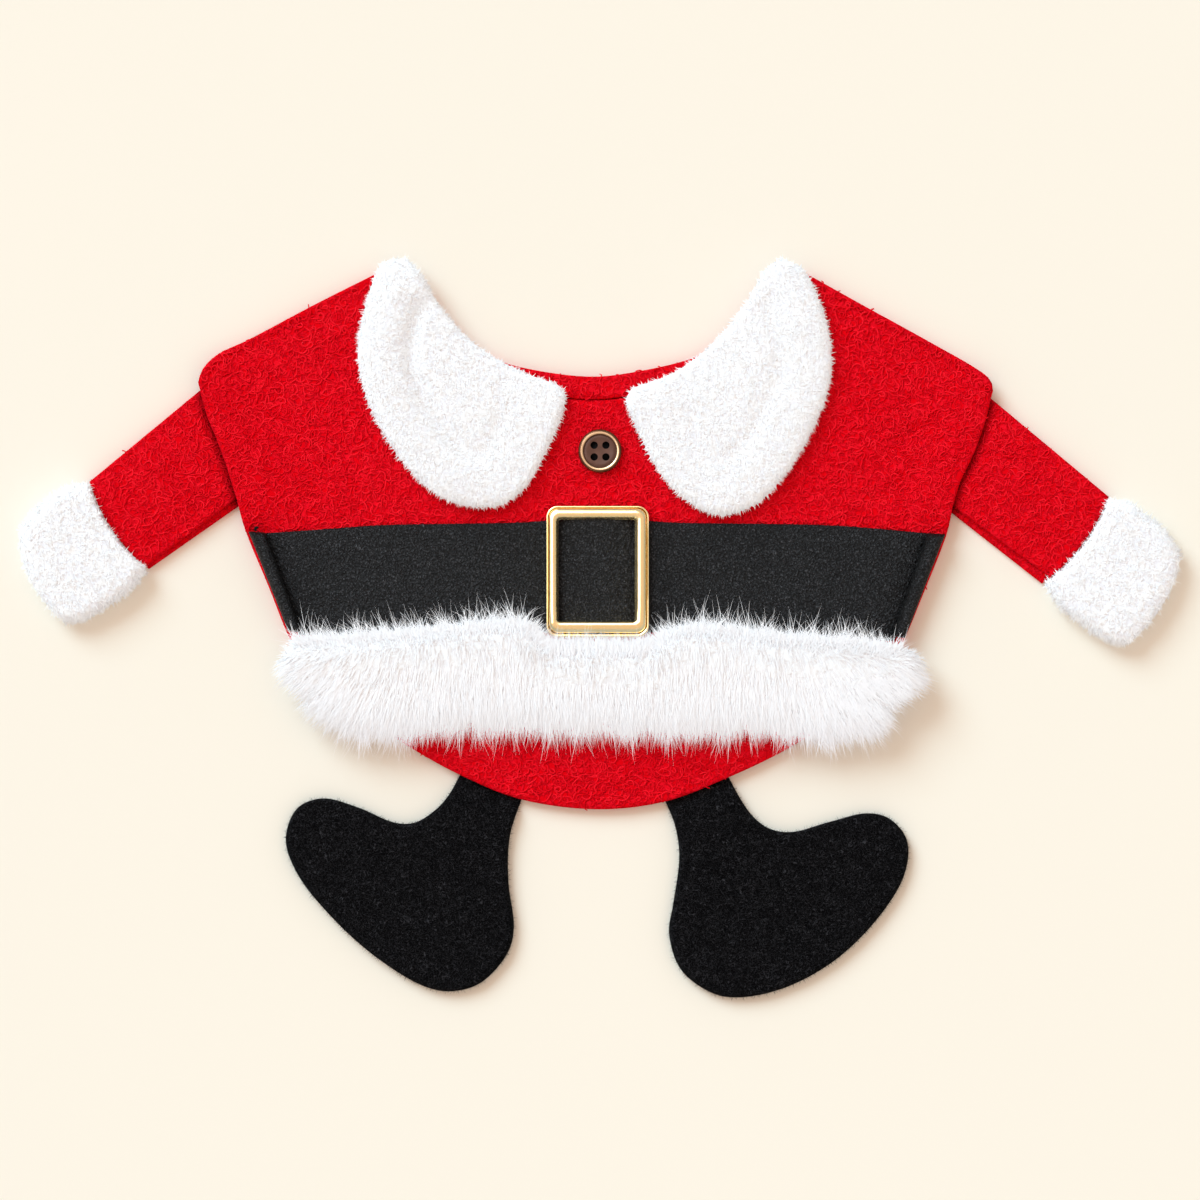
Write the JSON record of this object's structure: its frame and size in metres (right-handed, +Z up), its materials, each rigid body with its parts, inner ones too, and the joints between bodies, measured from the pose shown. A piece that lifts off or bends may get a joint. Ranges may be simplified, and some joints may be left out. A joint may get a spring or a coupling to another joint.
{
  "type": "pet santa costume",
  "caption": "Red terry pet costume laid flat, with a white plush collar and cuffs, a black buckled belt, a white fur trim and black felt boots.",
  "frame": {"origin": "middle of the laid-out costume's box, on the surface it lies on", "axes": "+Z up from the surface, +X across the costume from cuff to cuff, +Y from the boots to the collar"},
  "size_m": [0.4046, 0.2584, 0.018],
  "materials": {
    "terry": "curly red terry",
    "plush": "short white plush",
    "fur": "long white pile",
    "leather": "satin black",
    "felt": "black felt",
    "gold": "polished pale gold plate",
    "button": "brown with a brassy rim"
  },
  "bodies": {
    "root": {"back_panel": "terry", "front_panel": "terry", "neck_band": "terry", "collar_left": "plush", "collar_right": "plush", "button": "button", "belt": "leather", "belt_end_left": "leather", "belt_end_right": "leather", "buckle": "gold", "fur_trim": "fur", "sleeve_left_front": "terry", "sleeve_right_front": "terry", "sleeve_left_back": "terry", "sleeve_right_back": "terry", "cuff_left": "plush", "cuff_right": "plush", "boot_left": "felt", "boot_right": "felt"}
  },
  "joints": []
}
